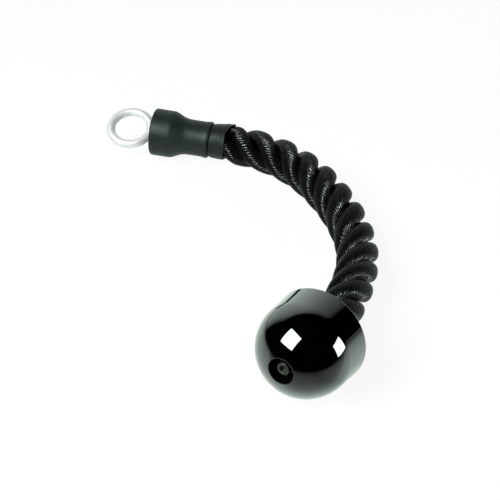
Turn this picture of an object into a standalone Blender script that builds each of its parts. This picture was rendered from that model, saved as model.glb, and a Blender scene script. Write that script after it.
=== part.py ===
"""Single-grip triceps rope attachment: steel eye, sleeved ferrule, laid rope and ball stop. Metres, +Z up."""
import math

import bmesh
import bpy
import numpy as np
from mathutils import Matrix, Vector

# Clearances and facet counts
GAP = 0.0003
ROUND_STEPS = 48
HIDDEN_STEPS = 32
SMALL_STEPS = 24
EYE_WIRE_STEPS = 14
FILLET_STEPS = 4

# Rope
ROPE_D = 0.034
ROPE_CLEARANCE = 0.0004
STRAND_COUNT = 3
STRAND_CENTRE_SHARE = 0.555
STRAND_DEPTH_SHARE = 0.445
STRAND_WIDTH_SHARE = 0.583
STRAND_SIDES = 12
LAY_LENGTH = 0.079
LAY_START_DEG = 17.0
STATIONS_PER_TURN = 14
BAND_BEVEL = 14
DRAWN_FROM = 0.205
DRAWN_TO = 0.085

# Route of the rope's centre from the sleeve's neck to the ball's rear face, as shares of the straight
# distance between the two
ROUTE_SPAN = 0.28382
ROUTE_SHARES = (
    (-0.0772, 0.5080, 0.0645),
    (0.0094, 0.4921, 0.0584),
    (0.1525, 0.4285, 0.0592),
    (0.2813, 0.2241, 0.0656),
    (0.3510, -0.0122, 0.0535),
    (0.3178, -0.2250, 0.0831),
    (0.2576, -0.3778, 0.1040),
    (0.2135, -0.4474, 0.1162),
)
ROUTE_STEPS = 600
NECK_LEAD = 0.0035

# Sleeve: a collar, a taper and a neck that ends in a bead, counted from its mouth along the rope
COLLAR_R = 0.0204
COLLAR_L = 0.0163
COLLAR_WALL = 0.0020
TAPER_L = 0.0191
NECK_L = 0.0162
NECK_WALL = 0.0010
MOUTH_ROUND_L = 0.0022
MOUTH_ROUND_DROP = 0.0013
BEAD_L = 0.0089
BEAD_H = 0.00056
LIP_L = 0.006
LIP_WALL = 0.0035
MOUTH_SHARES = ((0.0, 1.0), (0.15, 0.49), (0.45, 0.13), (1.0, 0.0))
TAPER_SHARES = (
    (0.0, 0.992), (0.087, 0.9425), (0.203, 0.789), (0.334, 0.56), (0.479, 0.311), (0.624, 0.135),
    (0.77, 0.043), (1.0, 0.008),
)
BEAD_SHARES = ((0.0, 0.0), (0.5, 0.35), (0.78, 1.0), (0.94, 0.88), (1.0, 0.23))

# Ferrule in the sleeve: a cup, a cone along part of the sleeve's taper and a barrel
CUP_WALL = 0.0020
CUP_END_WALL = 0.0030
CONE_SHARES = (0.068, 0.644)
BARREL_R = 0.0141
BARREL_WALL = 0.0014

# Shrink band between the sleeve's neck and the open rope
BAND_LAP = 0.0053
BAND_SHOWN_L = 0.0175
BAND_END_R = 0.0166
BAND_WALL = 0.0009
SWELL_L = 0.0080
BAND_POINTS = 4

# Eye
EYE_WIRE_D = 0.0073
EYE_HOLE_D = 0.0275
EYE_ROLL_DEG = 23.0
EYE_INSET = 0.0003
BOSS_R = 0.0066
BOSS_ROUND = 0.0012
SHANK_R = 0.0040
EYE_WASHER_R = 0.0085
EYE_WASHER_T = 0.0016
EYE_NUT_AF = 0.0130
EYE_NUT_H = 0.0065
NUT_CHAMFER = 0.0008
SHANK_TAIL = 0.0015
ROPE_END_GAP = 0.0006

# Ball grip, measured from the dome's centre along its own axis
BALL_R = 0.0327
SKIRT_L = 0.0182
SKIRT_FLARE = 0.0010
REAR_ROUND = 0.0010
COUNTERBORE_R = 0.0087
COUNTERBORE_DEPTH = 0.0093
COUNTERBORE_ROUND = 0.0005
SOCKET_R = 0.0179
SOCKET_DEPTH = 0.0237
SOCKET_ROUND = 0.0010
DOME_STEPS = 12
CAP_WALL = 0.0015
CAP_END_WALL = 0.0040
CAP_INSET = 0.0030
SCREW_R = 0.0025
SCREW_HEAD_R = 0.00425
SCREW_HEAD_H = 0.0050
SCREW_HEAD_ROUND = 0.0004
SCREW_KEY_AF = 0.0040
SCREW_KEY_DEPTH = 0.0025
SCREW_TAIL = 0.0003
SCREW_WASHER_R = 0.0055
SCREW_WASHER_T = 0.0010

# Materials: base colour, metallic, roughness
LOOKS = {
    "steel_bright": ((0.78, 0.79, 0.80), 1.0, 0.12),
    "steel_plain": ((0.55, 0.56, 0.57), 1.0, 0.35),
    "rubber_black": ((0.035, 0.040, 0.039), 0.0, 0.45),
    "band_black": ((0.030, 0.033, 0.032), 0.0, 0.50),
    "rope_black": ((0.012, 0.012, 0.013), 0.0, 0.55),
    "ball_black": ((0.006, 0.006, 0.006), 0.0, 0.06),
    "screw_black": ((0.05, 0.05, 0.05), 1.0, 0.30),
}


def empty_scene():
    for thing in list(bpy.data.objects):
        bpy.data.objects.remove(thing, do_unlink=True)
    scene = bpy.context.scene
    shown = bpy.data.collections.new("triceps_rope_attachment")
    hidden = bpy.data.collections.new("cutters")
    scene.collection.children.link(shown)
    scene.collection.children.link(hidden)
    return shown, hidden


PARTS, CUTTERS = empty_scene()


def look(slot):
    made = bpy.data.materials.get(slot)
    if made is None:
        colour, metallic, roughness = LOOKS[slot]
        made = bpy.data.materials.new(slot)
        made.use_nodes = True
        shader = made.node_tree.nodes["Principled BSDF"]
        shader.inputs["Base Color"].default_value = (*colour, 1.0)
        shader.inputs["Metallic"].default_value = metallic
        shader.inputs["Roughness"].default_value = roughness
    return made


def add(name, data, slot, matrix, group=PARTS):
    thing = bpy.data.objects.new(name, data)
    thing.matrix_world = matrix
    group.objects.link(thing)
    if group is PARTS:
        data.materials.clear()
        data.materials.append(look(slot))
    else:
        thing.hide_render = True
        thing.display_type = "WIRE"
    return thing


def smooth(thing, degrees=35.0):
    for face in thing.data.polygons:
        face.use_smooth = True
    thing.data.set_sharp_from_angle(angle=math.radians(degrees))


# The route as one smooth curve
def bspline(control, count, degree=3):
    n = len(control)
    knots = np.concatenate([np.zeros(degree), np.linspace(0, 1, n - degree + 1), np.ones(degree)])
    out = []
    for t in np.linspace(0, 1, count):
        span = min(max(int(np.searchsorted(knots, t, side="right")) - 1, degree), n - 1)
        work = [np.array(control[span - degree + i], float) for i in range(degree + 1)]
        for level in range(1, degree + 1):
            for i in range(degree, level - 1, -1):
                low = knots[span - degree + i]
                high = knots[span + 1 + i - level]
                mix = (t - low) / (high - low)
                work[i] = (1 - mix) * work[i - 1] + mix * work[i]
        out.append(work[degree])
    return np.array(out)


sleeve_l = COLLAR_L + TAPER_L + NECK_L
neck_at = sleeve_l - NECK_LEAD
CONTROL = [ROUTE_SPAN * np.array(share) for share in ROUTE_SHARES]
SLEEVE_DIR = (CONTROL[1] - CONTROL[0]) / np.linalg.norm(CONTROL[1] - CONTROL[0])
BALL_DIR = (CONTROL[-1] - CONTROL[-2]) / np.linalg.norm(CONTROL[-1] - CONTROL[-2])
MOUTH = CONTROL[0] - neck_at * SLEEVE_DIR
FREE = bspline(CONTROL, ROUTE_STEPS)
FREE_AT = neck_at + np.concatenate([[0.0], np.cumsum(np.linalg.norm(np.diff(FREE, axis=0), axis=1))])
REAR_AT = FREE_AT[-1]


def centre(at):
    if at <= neck_at:
        return MOUTH + at * SLEEVE_DIR
    if at >= REAR_AT:
        return CONTROL[-1] + (at - REAR_AT) * BALL_DIR
    return np.array([np.interp(at, FREE_AT, FREE[:, k]) for k in range(3)])


def standing(origin, axis, roll_degrees=0.0):
    """A frame with Z along the axis and Y up, turned about the axis by the roll."""
    z = Vector(axis).normalized()
    up = Vector((0, 0, 1))
    y = (up - up.dot(z) * z).normalized()
    y = Matrix.Rotation(math.radians(roll_degrees), 3, z) @ y
    x = y.cross(z)
    turn = Matrix((x, y, z)).transposed().to_4x4()
    return Matrix.Translation(Vector(origin)) @ turn


# Solids of revolution from profiles that run down their outer side
def rounded(corners):
    """A closed profile of (radius, height, fillet) corners as points."""
    points = []
    for i, (x, z, fillet) in enumerate(corners):
        here = Vector((x, z))
        if not fillet:
            points.append(here)
            continue
        before = (Vector(corners[i - 1][:2]) - here).normalized()
        after = (Vector(corners[(i + 1) % len(corners)][:2]) - here).normalized()
        half = before.angle(after) / 2
        reach = fillet / math.tan(half)
        hub = here + (before + after).normalized() * (fillet / math.sin(half))
        start = here + before * reach - hub
        end = here + after * reach - hub
        sweep = start.angle_signed(end)
        for k in range(FILLET_STEPS + 1):
            turn = Matrix.Rotation(-sweep * k / FILLET_STEPS, 2)
            points.append(hub + turn @ start)
    return points


def turned(name, profile, slot, matrix, steps=ROUND_STEPS, group=PARTS):
    points = [Vector(p) for p in profile]
    on_axis = [abs(p.x) <= GAP / 100 for p in points]
    verts = [(0.0 if flat else p.x, 0.0, p.y) for p, flat in zip(points, on_axis)]
    edges = [(i, i + 1) for i in range(len(verts) - 1)]
    if not any(on_axis):
        edges.append((len(verts) - 1, 0))
    mesh = bpy.data.meshes.new(name)
    mesh.from_pydata(verts, edges, [])
    thing = add(name, mesh, slot, matrix, group)
    spin = thing.modifiers.new("turn", "SCREW")
    spin.axis = "Z"
    spin.angle = 2 * math.pi
    spin.steps = spin.render_steps = steps
    spin.use_merge_vertices = True
    spin.merge_threshold = GAP / 10
    spin.use_smooth_shade = True
    return bake(thing)


def bake(thing):
    """The evaluated shape as the object's own mesh."""
    graph = bpy.context.evaluated_depsgraph_get()
    mesh = bpy.data.meshes.new_from_object(thing.evaluated_get(graph))
    mesh.name = thing.name
    old = thing.data
    thing.modifiers.clear()
    if isinstance(old, bpy.types.Curve):
        made = bpy.data.objects.new(thing.name, mesh)
        made.matrix_world = thing.matrix_world
        group = thing.users_collection[0]
        name = thing.name
        bpy.data.objects.remove(thing, do_unlink=True)
        made.name = name
        group.objects.link(made)
        made.hide_render = group is CUTTERS
        if group is CUTTERS:
            made.display_type = "WIRE"
        return made
    thing.data = mesh
    return thing


def face_outwards(thing):
    work = bmesh.new()
    work.from_mesh(thing.data)
    bmesh.ops.recalc_face_normals(work, faces=work.faces)
    work.to_mesh(thing.data)
    work.free()


def combine(thing, other, operation):
    step = thing.modifiers.new(operation.lower(), "BOOLEAN")
    step.operation = operation
    step.solver = "EXACT"
    step.object = other
    bpy.context.view_layer.update()
    return bake(thing)


def prism(name, across_flats, low, high, slot, matrix, group=PARTS):
    """A hexagonal prism between two heights."""
    radius = across_flats / math.sqrt(3)
    turns = [math.radians(60 * k) for k in range(6)]
    ring = [(radius * math.cos(a), radius * math.sin(a)) for a in turns]
    verts = [(x, y, z) for z in (low, high) for x, y in ring]
    faces = [tuple(reversed(range(6))), tuple(range(6, 12))]
    faces += [(k, (k + 1) % 6, (k + 1) % 6 + 6, k + 6) for k in range(6)]
    mesh = bpy.data.meshes.new(name)
    mesh.from_pydata(verts, [], faces)
    return add(name, mesh, slot, matrix, group)


def tube(name, points, shares, radius, bevel, slot, group=PARTS):
    """A closed tube on one POLY spline, its radius shared out along the points."""
    curve = bpy.data.curves.new(name, "CURVE")
    curve.dimensions = "3D"
    curve.bevel_depth = radius
    curve.bevel_resolution = bevel
    curve.use_fill_caps = True
    spline = curve.splines.new("POLY")
    spline.points.add(len(points) - 1)
    for target, point, share in zip(spline.points, points, shares):
        target.co = (*point, 1.0)
        target.radius = share
    return bake(add(name, curve, slot, Matrix.Identity(4), group))


# Sleeve end
SLEEVE_FRAME = standing(MOUTH, SLEEVE_DIR)
cup_outer_r = COLLAR_R - COLLAR_WALL
barrel_bore_r = BARREL_R - BARREL_WALL
cup_start = LIP_L + GAP
cup_shoulder, barrel_start = (COLLAR_L + share * TAPER_L for share in CONE_SHARES)
barrel_end = sleeve_l - BAND_LAP - GAP
neck_r = BARREL_R + GAP + NECK_WALL
lip_r = COLLAR_R - MOUTH_ROUND_DROP - LIP_WALL

outer = [(COLLAR_R - MOUTH_ROUND_DROP * drop, MOUTH_ROUND_L * along) for along, drop in MOUTH_SHARES]
outer += [(neck_r + (COLLAR_R - neck_r) * rise, COLLAR_L + TAPER_L * along) for along, rise in TAPER_SHARES]
outer += [(neck_r + BEAD_H * rise, sleeve_l - BEAD_L + BEAD_L * along) for along, rise in BEAD_SHARES]
outer.reverse()
inner = [
    (lip_r, 0.0), (lip_r, LIP_L), (cup_outer_r + GAP, LIP_L), (cup_outer_r + GAP, cup_shoulder + GAP),
    (BARREL_R + GAP, barrel_start + GAP), (BARREL_R + GAP, sleeve_l),
]
turned("rubber_sleeve", outer + inner, "rubber_black", SLEEVE_FRAME)

ferrule = [
    (BARREL_R, barrel_end), (BARREL_R, barrel_start), (cup_outer_r, cup_shoulder), (cup_outer_r, cup_start),
    (SHANK_R + GAP, cup_start), (SHANK_R + GAP, cup_start + CUP_END_WALL),
    (cup_outer_r - CUP_WALL, cup_start + CUP_END_WALL), (cup_outer_r - CUP_WALL, cup_shoulder - CUP_WALL / 4),
    (barrel_bore_r, barrel_start - CUP_WALL / 4), (barrel_bore_r, barrel_end),
]
turned("anchor_ferrule", ferrule, "steel_plain", SLEEVE_FRAME, HIDDEN_STEPS)

# Eye with its boss and shank, and what holds it in the ferrule
EYE_FRAME = standing(MOUTH, SLEEVE_DIR, EYE_ROLL_DEG)
wire_r = EYE_WIRE_D / 2
ring_r = EYE_HOLE_D / 2 + wire_r
ring_at = EYE_INSET - ring_r - wire_r
washer_at = cup_start + CUP_END_WALL + GAP
nut_at = washer_at + EYE_WASHER_T + GAP
shank_end = nut_at + EYE_NUT_H + SHANK_TAIL
boss_end = cup_start - GAP

spindle = rounded([
    (0.0, shank_end, 0.0), (SHANK_R, shank_end, NUT_CHAMFER), (SHANK_R, boss_end, 0.0),
    (BOSS_R, boss_end, BOSS_ROUND), (BOSS_R, ring_at + ring_r, BOSS_ROUND), (0.0, ring_at + ring_r, 0.0),
])
eye = turned("eye", spindle, "steel_bright", EYE_FRAME, SMALL_STEPS)
bpy.ops.mesh.primitive_torus_add(
    major_radius=ring_r, minor_radius=wire_r, major_segments=ROUND_STEPS, minor_segments=EYE_WIRE_STEPS
)
hoop = bpy.context.object
for group in list(hoop.users_collection):
    group.objects.unlink(hoop)
CUTTERS.objects.link(hoop)
hoop.name = "eye_hoop"
hoop.hide_render = True
hoop.display_type = "WIRE"
hoop.matrix_world = EYE_FRAME @ Matrix.Translation((0, 0, ring_at)) @ Matrix.Rotation(math.pi / 2, 4, "X")
smooth(combine(eye, hoop, "UNION"))

washer = [
    (EYE_WASHER_R, washer_at + EYE_WASHER_T), (EYE_WASHER_R, washer_at),
    (SHANK_R + GAP, washer_at), (SHANK_R + GAP, washer_at + EYE_WASHER_T),
]
turned("eye_washer", washer, "steel_plain", EYE_FRAME, SMALL_STEPS)

nut = prism("eye_nut", EYE_NUT_AF, nut_at, nut_at + EYE_NUT_H, "steel_plain", EYE_FRAME)
nut_r = EYE_NUT_AF / math.sqrt(3)
crown = turned("nut_crown", [
    (0.0, nut_at + EYE_NUT_H + GAP), (EYE_NUT_AF / 2, nut_at + EYE_NUT_H + GAP),
    (nut_r + GAP, nut_at + EYE_NUT_H - NUT_CHAMFER), (nut_r + GAP, nut_at + NUT_CHAMFER),
    (EYE_NUT_AF / 2, nut_at - GAP), (0.0, nut_at - GAP),
], "", EYE_FRAME, SMALL_STEPS, CUTTERS)
nut_bore = turned("nut_bore", [
    (0.0, nut_at + 2 * EYE_NUT_H), (SHANK_R + GAP, nut_at + 2 * EYE_NUT_H),
    (SHANK_R + GAP, nut_at - EYE_NUT_H), (0.0, nut_at - EYE_NUT_H),
], "", EYE_FRAME, SMALL_STEPS, CUTTERS)
combine(combine(nut, crown, "INTERSECT"), nut_bore, "DIFFERENCE")

# Shrink band, following the rope as it leaves the neck
band_start = barrel_end + GAP
band_end = sleeve_l + BAND_SHOWN_L
band_in_neck_r = BARREL_R - GAP / 2
band_stations = sorted([band_start, neck_at, *np.linspace(sleeve_l, band_end, BAND_POINTS)])
band_shares = np.interp(band_stations, (sleeve_l, band_end), (band_in_neck_r / BAND_END_R, 1.0))
band_path = [centre(at) for at in band_stations]
band = tube("shrink_band", band_path, band_shares, BAND_END_R, BAND_BEVEL, "band_black")
bore_stations = [band_start - BAND_LAP, *band_stations, band_end + BAND_LAP]
bore_start = barrel_bore_r / (BAND_END_R - BAND_WALL)
bore_shares = np.interp(bore_stations, (sleeve_l, band_end), (bore_start, 1.0))
bore_path = [centre(at) for at in bore_stations]
bore = tube("band_bore", bore_path, bore_shares, BAND_END_R - BAND_WALL, BAND_BEVEL, "", CUTTERS)
smooth(combine(band, bore, "DIFFERENCE"))

# Ball grip on its end cap
BALL_FRAME = standing(CONTROL[-1] + SKIRT_L * BALL_DIR, BALL_DIR)
rim_z = math.sqrt(BALL_R**2 - COUNTERBORE_R**2)
counterbore_z = rim_z - COUNTERBORE_DEPTH
socket_z = SOCKET_DEPTH - SKIRT_L
rim_angle = math.asin((COUNTERBORE_R + COUNTERBORE_ROUND) / BALL_R)
dome = []
for k in range(DOME_STEPS + 1):
    angle = rim_angle + (math.pi / 2 - rim_angle) * k / DOME_STEPS
    dome.append((BALL_R * math.sin(angle), BALL_R * math.cos(angle)))
below = rounded([
    (BALL_R, 0.0, 0.0), (BALL_R + SKIRT_FLARE, -SKIRT_L, REAR_ROUND), (SOCKET_R, -SKIRT_L, SOCKET_ROUND),
    (SOCKET_R, socket_z, 0.0), (SCREW_R + GAP, socket_z, 0.0), (SCREW_R + GAP, counterbore_z, 0.0),
    (COUNTERBORE_R, counterbore_z, 0.0), (COUNTERBORE_R, rim_z - COUNTERBORE_ROUND, 0.0),
])
turned("ball_grip", dome + below[1:], "ball_black", BALL_FRAME, ROUND_STEPS)

cap_r = SOCKET_R - 2 * GAP
cap_top = socket_z - GAP
cap_floor = cap_top - CAP_END_WALL
cap = [
    (cap_r, cap_top), (cap_r, CAP_INSET - SKIRT_L), (cap_r - CAP_WALL, CAP_INSET - SKIRT_L),
    (cap_r - CAP_WALL, cap_floor), (SCREW_R + GAP, cap_floor), (SCREW_R + GAP, cap_top),
]
turned("ball_end_cap", cap, "steel_plain", BALL_FRAME, HIDDEN_STEPS)

screw_washer_z = counterbore_z + GAP
seat_z = screw_washer_z + SCREW_WASHER_T + GAP
head_z = seat_z + SCREW_HEAD_H
turned("ball_screw_washer", [
    (SCREW_WASHER_R, screw_washer_z + SCREW_WASHER_T), (SCREW_WASHER_R, screw_washer_z),
    (SCREW_R + GAP, screw_washer_z), (SCREW_R + GAP, screw_washer_z + SCREW_WASHER_T),
], "screw_black", BALL_FRAME, SMALL_STEPS)
screw = turned("ball_screw", rounded([
    (0.0, head_z, 0.0), (SCREW_HEAD_R, head_z, SCREW_HEAD_ROUND), (SCREW_HEAD_R, seat_z, 0.0),
    (SCREW_R, seat_z, 0.0), (SCREW_R, cap_floor - SCREW_TAIL, 0.0), (0.0, cap_floor - SCREW_TAIL, 0.0),
]), "screw_black", BALL_FRAME, SMALL_STEPS)
key_low, key_high = head_z - SCREW_KEY_DEPTH, head_z + SCREW_KEY_DEPTH
key = prism("screw_key", SCREW_KEY_AF, key_low, key_high, "", BALL_FRAME, CUTTERS)
combine(screw, key, "DIFFERENCE")

# Three strands: one lobe swept along the route, tilted a full turn each lay length, and drawn in
# where the ferrule, the band and the cap grip them
rope_r = ROPE_D / 2


def lobe():
    """Section of one strand: an ellipse off the rope's centre, flattened where it meets its neighbours."""
    half_sector = math.pi / STRAND_COUNT
    curve = bpy.data.curves.new("strand_lobe", "CURVE")
    curve.dimensions = "2D"
    spline = curve.splines.new("POLY")
    spline.points.add(STRAND_SIDES - 1)
    for k, target in enumerate(spline.points):
        angle = 2 * math.pi * (k + 0.5) / STRAND_SIDES
        x = rope_r * (STRAND_CENTRE_SHARE + STRAND_DEPTH_SHARE * math.cos(angle))
        y = rope_r * STRAND_WIDTH_SHARE * math.sin(angle)
        limit = x * math.tan(half_sector) - GAP / math.cos(half_sector)
        target.co = (x, max(-limit, min(limit, y)), 0.0, 1.0)
    spline.use_cyclic_u = True
    return add("strand_lobe", curve, "", Matrix.Identity(4), CUTTERS)


ROPE_START = shank_end + ROPE_END_GAP
ROPE_END = REAR_AT + SKIRT_L + cap_floor - SCREW_TAIL - ROPE_END_GAP
in_ferrule = (barrel_bore_r - ROPE_CLEARANCE) / rope_r
in_band = (BAND_END_R - BAND_WALL - ROPE_CLEARANCE) / rope_r
in_cap = (cap_r - CAP_WALL - ROPE_CLEARANCE) / rope_r
SQUEEZE_AT = (sleeve_l, band_end, band_end + SWELL_L, REAR_AT - DRAWN_FROM, REAR_AT - DRAWN_TO)
SQUEEZE = (in_ferrule, in_band, 1.0, 1.0, in_cap)
turns = (ROPE_END - ROPE_START) / LAY_LENGTH
stations = np.linspace(ROPE_START, ROPE_END, int(round(turns * STATIONS_PER_TURN)) + 1)
section = lobe()
for index in range(STRAND_COUNT):
    curve = bpy.data.curves.new("rope_strand_" + "abc"[index], "CURVE")
    curve.dimensions = "3D"
    curve.twist_mode = "MINIMUM"
    curve.bevel_mode = "OBJECT"
    curve.bevel_object = section
    curve.use_fill_caps = True
    spline = curve.splines.new("POLY")
    spline.points.add(len(stations) - 1)
    for target, at in zip(spline.points, stations):
        target.co = (*centre(at), 1.0)
        target.radius = float(np.interp(at, SQUEEZE_AT, SQUEEZE))
        lay = (at - ROPE_START) / LAY_LENGTH + index / STRAND_COUNT
        target.tilt = 2 * math.pi * lay + math.radians(LAY_START_DEG)
    strand = bake(add(curve.name, curve, "rope_black", Matrix.Identity(4)))
    smooth(strand, 50.0)
    even = strand.modifiers.new("facets", "TRIANGULATE")
    even.quad_method = "FIXED"
    bake(strand)
    face_outwards(strand)


# The part stands on the floor with its origin under the middle of its bounding box
def stand_on_floor():
    bpy.context.view_layer.update()
    corners = [thing.matrix_world @ v.co for thing in PARTS.objects for v in thing.data.vertices]
    low = [min(p[k] for p in corners) for k in range(3)]
    high = [max(p[k] for p in corners) for k in range(3)]
    shift = Vector((-(low[0] + high[0]) / 2, -(low[1] + high[1]) / 2, -low[2]))
    for thing in PARTS.objects:
        thing.matrix_world = Matrix.Translation(shift) @ thing.matrix_world
    for thing in CUTTERS.objects:
        thing.matrix_world = Matrix.Translation(shift) @ thing.matrix_world
    return shift, Vector(high) - Vector(low)


SHIFT, EXTENT = stand_on_floor()


def rounded_off(values):
    return [round(float(v), 6) for v in values]


print("shift", rounded_off(SHIFT), "extent", rounded_off(EXTENT))
print("eye axis through", rounded_off(Vector(MOUTH) + SHIFT), rounded_off(SLEEVE_DIR))
print("ball axis through", rounded_off(BALL_FRAME.translation + SHIFT), rounded_off(BALL_DIR))
print("rope length", rounded_off([ROPE_END - ROPE_START, REAR_AT - band_end]))
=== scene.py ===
"""Dressed view of the single-grip triceps rope: visible pieces, materials, light and camera."""
import math

import bmesh
import bpy
import numpy as np
from mathutils import Matrix, Vector


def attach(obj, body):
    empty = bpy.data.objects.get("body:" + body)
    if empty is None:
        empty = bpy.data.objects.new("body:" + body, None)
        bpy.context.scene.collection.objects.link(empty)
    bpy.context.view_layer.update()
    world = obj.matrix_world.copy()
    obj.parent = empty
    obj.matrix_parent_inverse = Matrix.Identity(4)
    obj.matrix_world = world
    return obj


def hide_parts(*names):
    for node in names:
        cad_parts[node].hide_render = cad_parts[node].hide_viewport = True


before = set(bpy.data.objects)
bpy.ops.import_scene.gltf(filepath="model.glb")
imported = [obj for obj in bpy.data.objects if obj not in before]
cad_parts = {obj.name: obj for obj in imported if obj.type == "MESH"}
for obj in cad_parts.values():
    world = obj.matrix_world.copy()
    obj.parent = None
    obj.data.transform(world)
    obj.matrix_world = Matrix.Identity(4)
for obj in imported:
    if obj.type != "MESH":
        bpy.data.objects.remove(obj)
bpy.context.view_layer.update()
scene = bpy.context.scene
MM = 0.001
CAMERA_TILT = math.radians(53.0)

# Camera at the photograph's viewing angle
lens = bpy.data.cameras.new("camera")
lens.lens = 72.0
lens.sensor_width = 36.0
lens.clip_start = 0.01
camera = bpy.data.objects.new("camera", lens)
camera.location = (0.01525, -0.612649, 0.467545)
camera.rotation_euler = (CAMERA_TILT, 0.0, 0.0)
scene.collection.objects.link(camera)
scene.camera = camera

# The rope's centre, from the sleeve's neck to the ball's rear face
ROUTE = 0.28382 * np.array([
    (-0.0772, 0.5080, 0.0645), (0.0094, 0.4921, 0.0584), (0.1525, 0.4285, 0.0592),
    (0.2813, 0.2241, 0.0656), (0.3510, -0.0122, 0.0535), (0.3178, -0.2250, 0.0831),
    (0.2576, -0.3778, 0.1040), (0.2135, -0.4474, 0.1162),
]) + np.array((-0.00025, -0.000649, 0.000145))
# Lengths in metres, and places along the rope counted from the sleeve's mouth
NECK_AT = 0.0481
SLEEVE_L = 0.0516
BAND_START = 0.0463
BAND_END = 0.0691
ROPE_START = 0.0201
ROPE_IN_BALL = 0.0184
ROPE_R = 0.017
LAY_LENGTH = 0.079
LAY_START = math.radians(197.0)


def bspline(control, count, degree=3):
    n = len(control)
    knots = np.concatenate([np.zeros(degree), np.linspace(0, 1, n - degree + 1), np.ones(degree)])
    out = []
    for t in np.linspace(0, 1, count):
        span = min(max(int(np.searchsorted(knots, t, side="right")) - 1, degree), n - 1)
        work = [np.array(control[span - degree + i], float) for i in range(degree + 1)]
        for level in range(1, degree + 1):
            for i in range(degree, level - 1, -1):
                low = knots[span - degree + i]
                high = knots[span + 1 + i - level]
                mix = (t - low) / (high - low)
                work[i] = (1 - mix) * work[i - 1] + mix * work[i]
        out.append(work[degree])
    return np.array(out)


def unit(v):
    return v / np.linalg.norm(v)


SLEEVE_DIR = unit(ROUTE[1] - ROUTE[0])
BALL_DIR = unit(ROUTE[-1] - ROUTE[-2])
MOUTH = ROUTE[0] - NECK_AT * SLEEVE_DIR
FREE = bspline(ROUTE, 600)
FREE_AT = NECK_AT + np.concatenate([[0.0], np.cumsum(np.linalg.norm(np.diff(FREE, axis=0), axis=1))])
REAR_AT = FREE_AT[-1]
ROPE_END = REAR_AT + ROPE_IN_BALL


def centre(stations):
    """Points on the rope's centre line at these distances from the sleeve's mouth."""
    at = np.atleast_1d(np.asarray(stations, float))
    points = np.array([np.interp(at, FREE_AT, FREE[:, k]) for k in range(3)]).T
    low, high = at < NECK_AT, at > REAR_AT
    points[low] = MOUTH + at[low, None] * SLEEVE_DIR
    points[high] = ROUTE[-1] + (at[high, None] - REAR_AT) * BALL_DIR
    return points


FINE_AT = np.linspace(0.0, ROPE_END + 0.002, 1600)


def carried_frames():
    """Two axes across the rope at each fine station, carried along it without twist."""
    points = centre(FINE_AT)
    along = np.gradient(points, axis=0)
    along /= np.linalg.norm(along, axis=1)[:, None]
    up = np.array((0.0, 0.0, 1.0))
    y = unit(up - up @ along[0] * along[0])
    ys = [y]
    for t in along[1:]:
        y = unit(y - y @ t * t)
        ys.append(y)
    ys = np.array(ys)
    return np.cross(ys, along), ys


FINE_X, FINE_Y = carried_frames()


def across(stations):
    x = np.array([np.interp(stations, FINE_AT, FINE_X[:, k]) for k in range(3)]).T
    y = np.array([np.interp(stations, FINE_AT, FINE_Y[:, k]) for k in range(3)]).T
    return x / np.linalg.norm(x, axis=1)[:, None], y / np.linalg.norm(y, axis=1)[:, None]


def lay_angle(at):
    return 2 * math.pi * (at - ROPE_START) / LAY_LENGTH + LAY_START


# The rope's thickness along it, as a share of ROPE_R
SQUEEZE_AT = (SLEEVE_L, BAND_END, BAND_END + 0.008, REAR_AT - 0.205, REAR_AT - 0.085)
SQUEEZE = (0.7235, 0.9, 1.0, 1.0, 0.9059)


# Meshes
def sheet_of(rows, closed_along=False, caps=False, uv=None):
    """Quads over a grid of points closed round, given as verts, faces, end faces and UV corners."""
    n, m = rows.shape[:2]
    i, j = np.meshgrid(np.arange(n if closed_along else n - 1), np.arange(m), indexing="ij")
    i2, j2 = (i + 1) % n, (j + 1) % m
    faces = np.stack([i * m + j, i * m + j2, i2 * m + j2, i2 * m + j], axis=-1).reshape(-1, 4)
    corners = None
    if uv is not None:
        du, dv = uv
        a, b = du[j], du[j + 1]
        corners = np.stack([a, dv[i], b, dv[i], b, dv[i + 1], a, dv[i + 1]], axis=-1).reshape(-1, 4, 2)
    ends = []
    if caps:
        ends = [list(range(m))[::-1], list(range((n - 1) * m, n * m))]
    return rows.reshape(-1, 3), faces, ends, corners


def build(name, parts, materials, sharp=32.0):
    """One object from several grids, each with its material's index."""
    verts, faces, marks, uvs, base = [], [], [], [], 0
    for (points, quads, ends, corners), slot in parts:
        verts.append(points)
        for face in quads.tolist():
            faces.append([v + base for v in face])
        for face in ends:
            faces.append([v + base for v in face])
        marks += [slot] * (len(quads) + len(ends))
        if corners is None:
            corners = np.zeros((len(quads), 4, 2))
        uvs.append(corners.reshape(-1, 2))
        for face in ends:
            uvs.append(np.zeros((len(face), 2)))
        base += len(points)
    mesh = bpy.data.meshes.new(name)
    mesh.from_pydata(np.concatenate(verts).tolist(), [], faces)
    layer = mesh.uv_layers.new(name="lay")
    layer.data.foreach_set("uv", np.concatenate(uvs).astype(np.float32).ravel())
    for material in materials:
        mesh.materials.append(material)
    mesh.polygons.foreach_set("material_index", marks)
    mesh.polygons.foreach_set("use_smooth", [True] * len(mesh.polygons))
    mesh.update()
    mesh.set_sharp_from_angle(angle=math.radians(sharp))
    piece = bpy.data.objects.new(name, mesh)
    scene.collection.objects.link(piece)
    return piece


def outwards(piece):
    work = bmesh.new()
    work.from_mesh(piece.data)
    bmesh.ops.remove_doubles(work, verts=work.verts, dist=1e-7)
    bmesh.ops.recalc_face_normals(work, faces=work.faces)
    work.to_mesh(piece.data)
    work.free()
    return piece


def standing(origin, axis, roll_degrees=0.0):
    z = Vector(axis).normalized()
    up = Vector((0, 0, 1))
    y = (up - up.dot(z) * z).normalized()
    y = Matrix.Rotation(math.radians(roll_degrees), 3, z) @ y
    x = y.cross(z)
    return Matrix.Translation(Vector(origin)) @ Matrix((x, y, z)).transposed().to_4x4()


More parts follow.
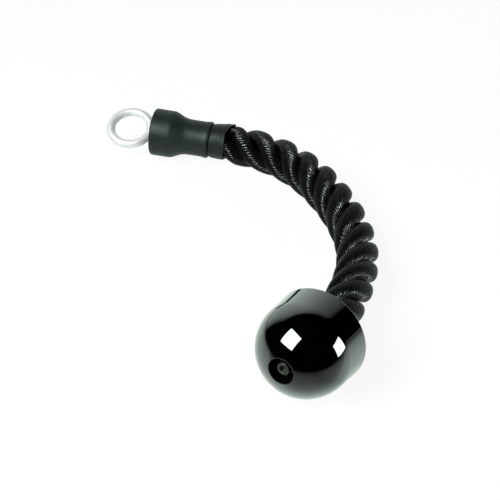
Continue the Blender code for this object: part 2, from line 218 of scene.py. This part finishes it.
def turned(name, profile, place, materials, steps, marks=None, closed=True, sharp=32.0):
    """A solid of revolution from (radius, height) points in mm; marks gives each segment's material."""
    angles = np.linspace(0, 2 * math.pi, steps, endpoint=False)
    prof = np.array(profile, float) * MM
    if closed:
        prof = np.vstack([prof, prof[:1]])
    count = len(prof) - 1
    marks = marks or [0] * count
    turn = np.array(place)
    along = np.concatenate([[0], np.cumsum(np.linalg.norm(np.diff(prof, axis=0), axis=1))])
    parts = []
    for k in range(count):
        rows = np.array([[(r * math.cos(a), r * math.sin(a), z) for a in angles] for r, z in prof[k:k + 2]])
        rows = rows @ turn[:3, :3].T + turn[:3, 3]
        uv = (np.linspace(0, 1, steps + 1), along[k:k + 2])
        parts.append((sheet_of(rows, uv=uv), marks[k]))
    piece = build(name, parts, materials, sharp)
    outwards(piece)
    piece.data.set_sharp_from_angle(angle=math.radians(sharp))
    return piece


def rounded(corners, steps=6):
    """A closed profile of (radius, height, fillet) corners as points, each fillet in so many steps."""
    points = []
    for i, (x, z, fillet) in enumerate(corners):
        here = Vector((x, z))
        if not fillet:
            points.append(tuple(here))
            continue
        before = (Vector(corners[i - 1][:2]) - here).normalized()
        after = (Vector(corners[(i + 1) % len(corners)][:2]) - here).normalized()
        half = before.angle(after) / 2
        reach = fillet / math.tan(half)
        hub = here + (before + after).normalized() * (fillet / math.sin(half))
        start = here + before * reach - hub
        end = here + after * reach - hub
        sweep = start.angle_signed(end)
        for k in range(steps + 1):
            points.append(tuple(hub + Matrix.Rotation(-sweep * k / steps, 2) @ start))
    return points


def eased(points, count):
    """A monotone smooth line through (height, radius) points, as count points."""
    x, y = np.array(points, float).T
    d = np.diff(y) / np.diff(x)
    between = [0.0 if a * b <= 0 else 2 * a * b / (a + b) for a, b in zip(d, d[1:])]
    m = np.concatenate([[d[0]], between, [d[-1]]])
    at = np.linspace(x[0], x[-1], count)
    k = np.clip(np.searchsorted(x, at, side="right") - 1, 0, len(x) - 2)
    h = x[k + 1] - x[k]
    t = (at - x[k]) / h
    value = ((2 * t**3 - 3 * t**2 + 1) * y[k] + (t**3 - 2 * t**2 + t) * h * m[k]
             + (3 * t**2 - 2 * t**3) * y[k + 1] + (t**3 - t**2) * h * m[k + 1])
    return list(zip(at, value))


# Materials
class Look:
    """A node material, built by short calls."""

    def __init__(self, name, **sockets):
        self.material = bpy.data.materials.new(name)
        self.material.use_nodes = True
        self.tree = self.material.node_tree
        self.shader = self.tree.nodes["Principled BSDF"]
        for socket, value in sockets.items():
            self.shader.inputs[socket.replace("_", " ")].default_value = value

    def node(self, kind, **sets):
        made = self.tree.nodes.new("ShaderNode" + kind)
        for key, value in sets.items():
            setattr(made, key, value)
        return made

    def feed(self, socket, source):
        if isinstance(source, (int, float, tuple)):
            socket.default_value = source
        else:
            self.tree.links.new(source, socket)

    def math(self, operation, a, b=0.0, c=0.0):
        made = self.node("Math", operation=operation)
        for socket, source in zip(made.inputs, (a, b, c)):
            self.feed(socket, source)
        return made.outputs[0]

    def coordinate(self, kind="Object"):
        return self.node("TexCoord").outputs[kind]

    def stretched(self, source, scale, turn=(0.0, 0.0, 0.0)):
        made = self.node("Mapping")
        self.feed(made.inputs["Vector"], source)
        made.inputs["Scale"].default_value = scale
        made.inputs["Rotation"].default_value = turn
        return made.outputs[0]

    def noise(self, source, scale, detail=3.0, rough=0.55):
        made = self.node("TexNoise")
        self.feed(made.inputs["Vector"], source)
        made.inputs["Scale"].default_value = scale
        made.inputs["Detail"].default_value = detail
        made.inputs["Roughness"].default_value = rough
        return made.outputs["Fac"]

    def ramp(self, source, *stops):
        made = self.node("ValToRGB")
        self.feed(made.inputs[0], source)
        ramp = made.color_ramp
        while len(ramp.elements) < len(stops):
            ramp.elements.new(0.5)
        for element, (at, colour) in zip(ramp.elements, stops):
            element.position = at
            element.color = (*colour, 1.0) if isinstance(colour, tuple) else (colour, colour, colour, 1.0)
        return made.outputs[0]

    def range(self, source, low, high, to_low, to_high):
        made = self.node("MapRange")
        self.feed(made.inputs[0], source)
        for socket, value in zip(made.inputs[1:5], (low, high, to_low, to_high)):
            socket.default_value = value
        return made.outputs[0]

    def bump(self, height, distance, strength=1.0, normal=None):
        made = self.node("Bump")
        self.feed(made.inputs["Height"], height)
        made.inputs["Distance"].default_value = distance
        made.inputs["Strength"].default_value = strength
        if normal is not None:
            self.feed(made.inputs["Normal"], normal)
        return made.outputs[0]

    def link(self, **sources):
        for socket, source in sources.items():
            self.tree.links.new(source, self.shader.inputs[socket.replace("_", " ")])
        return self.material


def metal(name, dark, light, rough_low, rough_high, metallic=1.0):
    """Plated or oxidised steel: cloudy tone, fine pits and faint handling scratches."""
    look = Look(name, Metallic=metallic)
    place = look.coordinate()
    cloud = look.noise(place, 160.0, 4.0, 0.6)
    scratches = look.noise(look.stretched(place, (40.0, 40.0, 900.0), (0.5, 0.9, 0.2)), 3.0, 2.0)
    pits = look.noise(place, 2600.0, 2.0)
    colour = look.ramp(cloud, (0.3, dark), (0.7, light))
    worn = look.math("ADD", cloud, look.math("MULTIPLY", scratches, 0.6))
    rough = look.range(worn, 0.5, 1.1, rough_low, rough_high)
    height = look.math("ADD", look.math("MULTIPLY", scratches, 0.6), pits)
    return look.link(Base_Color=colour, Roughness=rough, Normal=look.bump(height, 0.00002, 0.5))


def rubber(name, dark, light, rough_low, rough_high, level, pores=1800.0, wrinkles=0.0):
    """Satin black rubber: soft mottling, fine grain and, if asked for, drawn wrinkles round the tube."""
    look = Look(name, IOR=1.5, Specular_IOR_Level=level)
    place = look.coordinate()
    cloud = look.noise(place, 95.0, 4.0, 0.6)
    grain = look.noise(place, pores, 2.0)
    colour = look.ramp(cloud, (0.3, dark), (0.72, light))
    uneven = look.math("ADD", cloud, look.math("MULTIPLY", grain, 0.35))
    rough = look.range(uneven, 0.4, 0.95, rough_low, rough_high)
    normal = look.bump(grain, 0.00004, 0.6)
    normal = look.bump(look.noise(place, 150.0, 2.0), 0.0004, 0.5, normal)
    if wrinkles:
        drawn = look.stretched(look.coordinate("UV"), (5.0, 420.0, 1.0), (0.0, 0.0, 0.35))
        folds = look.noise(drawn, 1.0, 3.0)
        normal = look.bump(folds, wrinkles, 0.8, normal)
    return look.link(Base_Color=colour, Roughness=rough, Normal=normal)


def yarns(name):
    """Laid filament: the yarns of a strand run nearly along the rope, each with its own fine fibres.

    The specular level is far below a real fibre's, to go with the lamps' hot cores."""
    look = Look(name, IOR=1.5, Specular_IOR_Level=0.045)
    yarns_round, yarns_per_metre, fibres_in_yarn = 25.0, 568.0, 6.0
    relief = 0.00054
    split = look.node("SeparateXYZ")
    look.feed(split.inputs[0], look.coordinate("UV"))
    u, v = split.outputs[0], split.outputs[1]
    place = look.coordinate()
    wander = look.math("MULTIPLY", look.noise(place, 70.0, 2.0), 0.7)
    round_it = look.math("MULTIPLY", u, yarns_round)
    phase = look.math("ADD", round_it, look.math("MULTIPLY", v, yarns_per_metre))
    phase = look.math("ADD", phase, wander)
    phase = look.math("ADD", phase, look.math("MULTIPLY", look.noise(place, 280.0, 2.0), 0.12))
    offset = look.math("MULTIPLY_ADD", look.math("FRACT", phase), 2.0, -1.0)
    crown = look.math("SUBTRACT", 1.0, look.math("MULTIPLY", offset, offset))
    fibres = look.math("PINGPONG", look.math("MULTIPLY", phase, fibres_in_yarn), 0.5)
    own = look.node("TexWhiteNoise", noise_dimensions="1D")
    look.feed(own.inputs["W"], look.math("FLOOR", phase))
    height = look.math("ADD", crown, look.math("MULTIPLY", fibres, 0.10))
    dust = look.noise(place, 900.0, 3.0)
    height = look.math("ADD", height, look.math("MULTIPLY", dust, 0.12))
    # Colour: darker in the gaps between yarns as painted shade, lighter where the dust noise is high
    tone = look.math("ADD", look.math("MULTIPLY", crown, 0.6), look.math("MULTIPLY", dust, 0.5))
    colour = look.ramp(tone, (0.25, (0.0003, 0.0004, 0.0004)), (0.95, (0.0016, 0.0019, 0.0018)))
    crest = look.range(crown, 0.0, 0.25, 0.50, 0.13)
    patches = look.range(look.noise(place, 620.0, 1.0), 0.42, 0.56, 0.0, 0.14)
    by_yarn = look.math("MULTIPLY", own.outputs["Value"], 0.08)
    rough = look.math("ADD", look.math("ADD", crest, patches), by_yarn)
    return look.link(Base_Color=colour, Roughness=rough, Normal=look.bump(height, relief))


def polished():
    """Polished black ball: clear gloss, faint orange peel and a little handling haze."""
    look = Look("ball_gloss", IOR=1.6, Coat_Weight=1.0, Coat_IOR=1.6, Coat_Roughness=0.015)
    place = look.coordinate()
    haze = look.noise(place, 70.0, 4.0, 0.65)
    colour = look.ramp(haze, (0.35, 0.0005), (0.75, 0.0010))
    rough = look.range(haze, 0.35, 0.8, 0.02, 0.07)
    normal = look.bump(look.noise(place, 220.0, 2.0), 0.000006, 0.4)
    return look.link(Base_Color=colour, Roughness=rough, Normal=normal)


STEEL = metal("eye_zinc", (0.95, 0.95, 0.95), (0.99, 0.99, 0.99), 0.40, 0.55, 0.35)
PLAIN = metal("plain_steel", (0.42, 0.43, 0.44), (0.62, 0.63, 0.64), 0.30, 0.50)
OXIDE = metal("black_oxide", (0.08, 0.08, 0.077), (0.17, 0.165, 0.155), 0.34, 0.50)
RUBBER = rubber("sleeve_rubber", (0.007, 0.013, 0.012), (0.012, 0.020, 0.018), 0.43, 0.55, 0.31)
BAND = rubber("band_rubber", (0.006, 0.011, 0.010), (0.011, 0.018, 0.017), 0.40, 0.56, 0.24, 1500.0, 0.0006)
INSIDE = rubber("ball_inside", (0.001, 0.001, 0.001), (0.002, 0.002, 0.002), 0.45, 0.60, 0.004)
ROPE = yarns("rope_yarn")
GLOSS = polished()


def put(piece, body, slot, *nodes):
    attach(piece, body)
    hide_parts(*nodes)


# Rope: three strands of one lobed section, turned a full turn each lay length
SIDES = 64
STATIONS = np.linspace(ROPE_START, ROPE_END, 436)
YARN_SHIFT = 0.137


def strand(index):
    """A lobe cut off just inside its third of the rope, so that the strands don't touch."""
    angle = np.linspace(0, 2 * math.pi, SIDES, endpoint=False)
    x = 0.555 + 0.445 * np.cos(angle)
    y = 0.583 * np.sin(angle)
    limit = np.maximum(x * math.tan(math.pi / 3) - 0.012, 0.0)
    y = np.sign(y) * np.minimum(np.abs(y), limit)
    scale = ROPE_R * np.interp(STATIONS, SQUEEZE_AT, SQUEEZE)
    turn = lay_angle(STATIONS) + 2 * math.pi * index / 3
    ax, ay = across(STATIONS)
    cx = x[None, :] * np.cos(turn)[:, None] - y[None, :] * np.sin(turn)[:, None]
    cy = x[None, :] * np.sin(turn)[:, None] + y[None, :] * np.cos(turn)[:, None]
    rows = centre(STATIONS)[:, None, :] + scale[:, None, None] * (
        cx[:, :, None] * ax[:, None, :] + cy[:, :, None] * ay[:, None, :])
    path = rows.mean(axis=1)
    run = np.concatenate([[0], np.cumsum(np.linalg.norm(np.diff(path, axis=0), axis=1))])
    return sheet_of(rows, caps=True, uv=(np.linspace(0, 1, SIDES + 1), run + YARN_SHIFT * index))


rope = build("laid_rope", [(strand(k), 0) for k in range(3)], [ROPE], 60.0)
put(rope, "rope_grip", "rope_black", "rope_strand_a", "rope_strand_b", "rope_strand_c")
tuple(centre(0.046)[0])
centre(np.linspace(ROPE_START, ROPE_END, 40)).tolist()

# Sleeve, its end cut a little askew
SLEEVE_PLACE = standing(MOUTH, SLEEVE_DIR)
CAMERA_UP = np.array((0.0, math.cos(CAMERA_TILT), math.sin(CAMERA_TILT)))
ABOVE = unit(CAMERA_UP - CAMERA_UP @ SLEEVE_DIR * SLEEVE_DIR)
collar, neck, taper_at, taper_l, length, lip_l, lip = 20.4, 15.4, 16.3, 19.1, 51.6, 8.9, 0.56
outer = [(0.0, collar - 1.3), (0.33, collar - 0.64), (1.0, collar - 0.17), (2.2, collar)]
for share, rise in ((0.0, 0.992), (0.087, 0.9425), (0.203, 0.789), (0.334, 0.56), (0.479, 0.311),
                    (0.624, 0.135), (0.77, 0.043), (1.0, 0.008)):
    outer.append((taper_at + taper_l * share, neck + (collar - neck) * rise))
for share, rise in ((0.0, 0.0), (0.5, 0.35), (0.78, 1.0), (0.94, 0.88), (1.0, 0.23)):
    outer.append((length - lip_l + lip_l * share, neck + lip * rise))
outline = [(r, z) for z, r in reversed(eased(outer, 96))]
inside = [(15.6, 0.3), (15.6, 6.0), (18.7, 6.0), (18.7, 17.9), (14.4, 28.9), (14.4, length)]
sleeve = turned("sleeve", outline + [(18.8, 0.0), (15.9, 0.0)] + inside, SLEEVE_PLACE, [RUBBER], 144)
skew_from, skew_over, skew = 0.0420, 0.0040, 0.0015
for vertex in sleeve.data.vertices:
    offset = np.array(vertex.co) - MOUTH
    near_end = np.clip((offset @ SLEEVE_DIR - skew_from) / skew_over, 0.0, 1.0)
    below = (1.0 - unit(offset - offset @ SLEEVE_DIR * SLEEVE_DIR) @ ABOVE) / 2
    vertex.co = np.array(vertex.co) - skew * near_end * below * SLEEVE_DIR
put(sleeve, "rope_grip", "rubber_black", "rubber_sleeve")


# Shrink band: round in the neck, drawn onto the strands at its open end
def band():
    steps, rings, wall = 180, 46, 0.85
    grow_at = (SLEEVE_L, SLEEVE_L + 0.002, SLEEVE_L + 0.009, BAND_END)
    angle = np.linspace(0, 2 * math.pi, steps, endpoint=False)
    share = np.linspace(0, 1, rings)
    rows_out, rows_in = [], []
    for t in share:
        at0 = BAND_START + t * (BAND_END - BAND_START)
        crest = np.cos(3 * (angle - lay_angle(at0)))
        x, y = across(at0 * np.ones(steps))
        high = (x * np.cos(angle)[:, None] + y * np.sin(angle)[:, None]) @ ABOVE
        ragged = 0.25 * np.sin(5 * angle + 1.0) + 0.2 * np.sin(11 * angle)
        at = at0 + MM * t**3 * (1.3 * crest + ragged) - MM * t**2 * 1.75 * (1.0 - high)
        grow = np.interp(at0, grow_at, (13.95, 14.8, 15.6, 16.5))
        lobed = np.clip((at0 - SLEEVE_L) / (BAND_END - SLEEVE_L), 0, 1)
        lengthwise = 0.10 * np.sin(7 * angle + 3.0 * np.sin(2 * angle + 9 * t))
        fold = lengthwise + 0.07 * np.sin(60 * t + 2.2 * np.sin(3 * angle))
        radius = grow + lobed * (0.35 * crest - 0.25 + 0.9 * high) + np.clip(4 * lobed, 0, 1) * fold
        x, y = across(at)
        middle = centre(at)
        ring = x * np.cos(angle)[:, None] + y * np.sin(angle)[:, None]
        rows_out.append(middle + MM * radius[:, None] * ring)
        rows_in.append(middle + MM * (radius - wall)[:, None] * ring)
    rows = np.array(rows_out + rows_in[::-1])
    run = np.concatenate([share, share[::-1], share[:1]]) * (BAND_END - BAND_START)
    return sheet_of(rows, closed_along=True, uv=(np.linspace(0, 1, steps + 1), run))


shrink = outwards(build("band", [(band(), 0)], [BAND], 50.0))
put(shrink, "rope_grip", "band_black", "shrink_band")

# Eye: ring on round wire, with its boss and shank
EYE_PLACE = standing(MOUTH, SLEEVE_DIR, 23.0)
wire, ring, ring_at, boss_end, shank_end = 3.65, 17.4, -20.75, 6.0, 19.5
spindle = rounded([
    (0.0, shank_end, 0.0), (4.0, shank_end, 0.8), (4.0, boss_end, 0.0), (6.6, boss_end, 1.2),
    (6.6, ring_at + ring, 1.2), (0.0, ring_at + ring, 0.0),
])
eye = turned("eye_ring", spindle, EYE_PLACE, [STEEL], 64, closed=False)
hoop_angles = np.linspace(0, 2 * math.pi, 144, endpoint=False)
wire_angles = np.linspace(0, 2 * math.pi, 40, endpoint=False)


def on_hoop(a, b):
    out = ring + wire * math.cos(b)
    return out * math.cos(a), wire * math.sin(b), ring_at + out * math.sin(a)


hoop = np.array([[on_hoop(a, b) for b in wire_angles] for a in hoop_angles]) * MM
turn = np.array(EYE_PLACE)
hoop = hoop @ turn[:3, :3].T + turn[:3, 3]
loop = outwards(build("loop", [(sheet_of(hoop, closed_along=True), 0)], [STEEL]))
join = eye.modifiers.new("join", "BOOLEAN")
join.operation = "UNION"
join.solver = "EXACT"
join.object = loop
bpy.context.view_layer.update()
joined = bpy.data.meshes.new_from_object(eye.evaluated_get(bpy.context.evaluated_depsgraph_get()))
eye.modifiers.clear()
eye.data = joined
joined.name = "eye_ring"
bpy.data.objects.remove(loop, do_unlink=True)
joined.polygons.foreach_set("use_smooth", [True] * len(joined.polygons))
joined.set_sharp_from_angle(angle=math.radians(40.0))
put(eye, "swivel_eye", "steel_bright", "eye")

# Ball with its skirt, counterbore and socket
ball_r, skirt, bore, bore_depth, rope_hole = 32.7, 18.2, 8.7, 9.3, 17.9
BALL_PLACE = standing(ROUTE[-1] + skirt * MM * BALL_DIR, BALL_DIR)
rim = math.sqrt(ball_r**2 - bore**2)
rim_angle = math.asin((bore + 0.5) / ball_r)
dome = [(ball_r * math.sin(a), ball_r * math.cos(a)) for a in np.linspace(rim_angle, math.pi / 2, 56)]
rear = rounded([(ball_r, 0.0, 0.0), (ball_r + 1.0, -skirt, 1.0), (rope_hole, -skirt, 1.0)], 10)[1:]
hollow = [(rope_hole, 5.5), (2.8, 5.5), (2.8, rim - bore_depth), (8.4, rim - bore_depth),
          (bore, rim - bore_depth + 0.3), (bore, rim - 0.55), (bore + 0.08, rim - 0.33),
          (bore + 0.25, rim - 0.2)]
# From the rope hole's wall to the bore's lip the inside material is used, and the gloss elsewhere
profile = dome + rear + hollow
inner_from = len(dome) + len(rear) - 1
marks = [0 if k < inner_from or k >= len(profile) - 1 else 1 for k in range(len(profile))]
ball = turned("ball", profile, BALL_PLACE, [GLOSS, INSIDE], 256, marks=marks, sharp=24.0)
put(ball, "rope_grip", "ball_black", "ball_grip")

# Screw on its washer, with a round socket as wide as the corners of the solid's 4 mm hexagon
gap, washer_l, head_r, head_l, shank_r, key_l, screw_end = 0.3, 1.0, 4.25, 5.0, 2.5, 2.5, 0.9
head_base = rim - bore_depth + gap + washer_l + gap
head = head_base + head_l
key = 4.0 / math.sqrt(3)
body_profile = rounded([
    (0.0, head - key_l, 0.0), (key, head - key_l, 0.0), (key, head, 0.25), (head_r, head, 0.4),
    (head_r, head_base, 0.0), (shank_r, head_base, 0.0), (shank_r, screw_end, 0.0), (0.0, screw_end, 0.0),
])
screw = turned("screw", body_profile, BALL_PLACE, [OXIDE], 96, closed=False, sharp=30.0)
put(screw, "rope_grip", "screw_black", "ball_screw")
top, under = head_base - gap, head_base - (gap + washer_l)
washer_profile = rounded([(5.5, top, 0.15), (5.5, under, 0.15), (2.8, under, 0.0), (2.8, top, 0.0)], 3)
washer = turned("screw_washer", washer_profile, BALL_PLACE, [OXIDE], 64)
put(washer, "rope_grip", "screw_black", "ball_screw_washer")

# CAD pieces that stay, hidden in the sleeve and in the ball
for node in ("anchor_ferrule", "eye_washer", "eye_nut", "ball_end_cap"):
    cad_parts[node].material_slots[0].material = PLAIN


# Floor, backdrop, world and lamps
def by_light_path(look, seen, otherwise):
    """seen for camera, glossy and transmission rays, and otherwise for the rest."""
    path = look.node("LightPath")
    some = look.math("MAXIMUM", path.outputs["Is Camera Ray"], path.outputs["Is Glossy Ray"])
    some = look.math("MAXIMUM", some, path.outputs["Is Transmission Ray"])
    made = look.node("MixShader")
    look.feed(made.inputs[0], some)
    look.feed(made.inputs[1], otherwise)
    look.feed(made.inputs[2], seen)
    out = look.tree.nodes["Material Output"]
    look.tree.links.new(made.outputs[0], out.inputs["Surface"])
    look.tree.nodes.remove(look.shader)


def plane(name, corners, material):
    mesh = bpy.data.meshes.new(name)
    mesh.from_pydata(corners, [], [(0, 1, 2, 3)])
    mesh.materials.append(material)
    thing = bpy.data.objects.new(name, mesh)
    scene.collection.objects.link(thing)


def glow(look, strength, colour=(1.0, 1.0, 1.0, 1.0)):
    made = look.node("Emission")
    look.feed(made.inputs["Color"], colour)
    look.feed(made.inputs["Strength"], strength)
    return made.outputs[0]


def matt(look, value):
    made = look.node("BsdfDiffuse")
    made.inputs["Color"].default_value = (value, value, value, 1.0)
    return made.outputs[0]


# Gloss sees the floor and the backdrop with painted light and shade that change by place: the floor darker
# towards the front and the sides with a painted shadow right of the ball, the backdrop a painted pool of
# light. Both and the lamps are faintly green
GREENISH = (0.87, 1.0, 0.92)
LEFT_END, RIGHT_END, FAR, TOP = -1.75, 1.45, 1.0, 2.0
floor_look = Look("floor_white")
spot = floor_look.node("SeparateXYZ")
floor_look.feed(spot.inputs[0], floor_look.node("NewGeometry").outputs["Position"])
seen = floor_look.node("LightPath").outputs["Is Camera Ray"]
# Painted shade in gloss: the floor darkens towards the front, the left and the far right
front = floor_look.ramp(floor_look.range(spot.outputs[1], -0.40, 0.0, 0.0, 1.0),
                        (0.0, 0.0), (0.235, 0.2), (0.30, 0.3), (0.45, 0.4), (0.5, 0.55), (0.53, 0.66),
                        (0.56, 1.0))
left = floor_look.range(spot.outputs[0], -0.9, -0.1, 0.1, 1.0)
# The dip near 0.15 of this range is a painted shadow of the ball on the floor, just right of it
right = floor_look.ramp(floor_look.range(spot.outputs[0], 0.0, 0.6, 0.0, 1.0),
                        (0.10, 1.0), (0.15, 0.68), (0.20, 0.88), (0.27, 1.02), (0.50, 0.80), (1.0, 0.2))
painted_floor_light_and_shade = floor_look.math("MULTIPLY", floor_look.math("MULTIPLY", front, left), right)
in_view = floor_look.node("AddShader")
floor_look.feed(in_view.inputs[0], glow(floor_look, 0.90))
floor_look.feed(in_view.inputs[1], matt(floor_look, 0.15))
both = floor_look.node("MixShader")
floor_look.feed(both.inputs[0], seen)
floor_look.feed(both.inputs[1], glow(floor_look, painted_floor_light_and_shade, (*GREENISH, 1.0)))
floor_look.feed(both.inputs[2], in_view.outputs[0])
by_light_path(floor_look, both.outputs[0], matt(floor_look, 0.8))
plane("floor", [(-4, -4, 0), (4, -4, 0), (4, 4, 0), (-4, 4, 0)], floor_look.material)

wall_look = Look("backdrop_white")
spot = wall_look.node("SeparateXYZ")
wall_look.feed(spot.inputs[0], wall_look.node("NewGeometry").outputs["Position"])
path = wall_look.node("LightPath")
# Painted light in gloss: the backdrop is brightest low and left of the middle and fades to the sides and
# the top, like a pool of lamplight
sideways = wall_look.ramp(wall_look.range(spot.outputs[0], LEFT_END, RIGHT_END, 0.0, 1.0),
                          (0.0, 0.0), (0.14, 0.5), (0.25, 0.92), (0.38, 1.0), (0.56, 1.0), (0.61, 0.82),
                          (0.73, 0.52), (0.9, 0.3), (1.0, 0.05))
upwards = wall_look.ramp(wall_look.range(spot.outputs[2], 0.0, TOP, 0.0, 1.0),
                         (0.0, 1.0), (0.4, 1.0), (0.58, 0.85), (0.75, 0.6), (0.95, 0.0))
painted_backdrop_light = wall_look.math("MULTIPLY", sideways, upwards)
strength = wall_look.math("MAXIMUM", path.outputs["Is Camera Ray"], painted_backdrop_light)
tone = wall_look.ramp(path.outputs["Is Camera Ray"], (0.0, GREENISH), (1.0, 1.0))
by_light_path(wall_look, glow(wall_look, strength, tone), matt(wall_look, 0.5))
corners = [(LEFT_END, FAR, 0), (RIGHT_END, FAR, 0), (RIGHT_END, FAR, TOP), (LEFT_END, FAR, TOP)]
plane("backdrop", corners, wall_look.material)

# The world shows as white to the camera and gives no light
world = bpy.data.worlds.new("studio")
scene.world = world
world.use_nodes = True
tree = world.node_tree
background = tree.nodes["Background"]
path = tree.nodes.new("ShaderNodeLightPath")
level = tree.nodes.new("ShaderNodeMapRange")
tree.links.new(path.outputs["Is Camera Ray"], level.inputs[0])
level.inputs[3].default_value = 0.0
level.inputs[4].default_value = 1.0
background.inputs["Color"].default_value = (1.0, 1.0, 1.0, 1.0)
tree.links.new(level.outputs[0], background.inputs["Strength"])

CORE_LEAVES_OUT = bpy.data.collections.new("core_leaves_out")
for piece in (eye, sleeve, shrink, screw, washer):
    CORE_LEAVES_OUT.objects.link(piece)
for linked in CORE_LEAVES_OUT.collection_objects:
    linked.light_linking.link_state = "EXCLUDE"
NEAR_BALL = Vector((0.045, -0.14, 0.035))
APART = 0.005


def softbox(name, place, side, plain, bright, core_side, core):
    """A square softbox turned to the ball, in three parts given by their radiance.

    The plain light falls on colours alone. The face and the far hotter core show in gloss alone,
    and the core leaves out the pieces that it makes too bright."""
    aim = (NEAR_BALL - Vector(place)).normalized()
    parts = (("light", side, plain), ("face", side, bright), ("core", core_side, core))
    for step, (part, width, radiance) in enumerate(parts):
        data = bpy.data.lights.new(name + "_" + part, "AREA")
        data.shape = "SQUARE"
        data.size = width
        data.energy = radiance * math.pi * width * width
        data.color = (1.0, 1.0, 1.0) if part == "light" else GREENISH
        lamp = bpy.data.objects.new(name + "_" + part, data)
        lamp.location = Vector(place) + APART * step * aim
        lamp.rotation_euler = aim.to_track_quat("-Z", "Y").to_euler()
        lamp.visible_camera = False
        lamp.visible_diffuse = part == "light"
        lamp.visible_glossy = part != "light"
        scene.collection.objects.link(lamp)
        if part == "core":
            lamp.light_linking.receiver_collection = CORE_LEAVES_OUT


softbox("lamp_left", (-0.76, -0.645, 1.06), 0.85, 8.5, 14.0, 0.28, 1300.0)
softbox("lamp_right", (1.31, -0.36, 0.28), 0.57, 8.5, 12.0, 0.20, 900.0)

scene.view_settings.view_transform = "Standard"
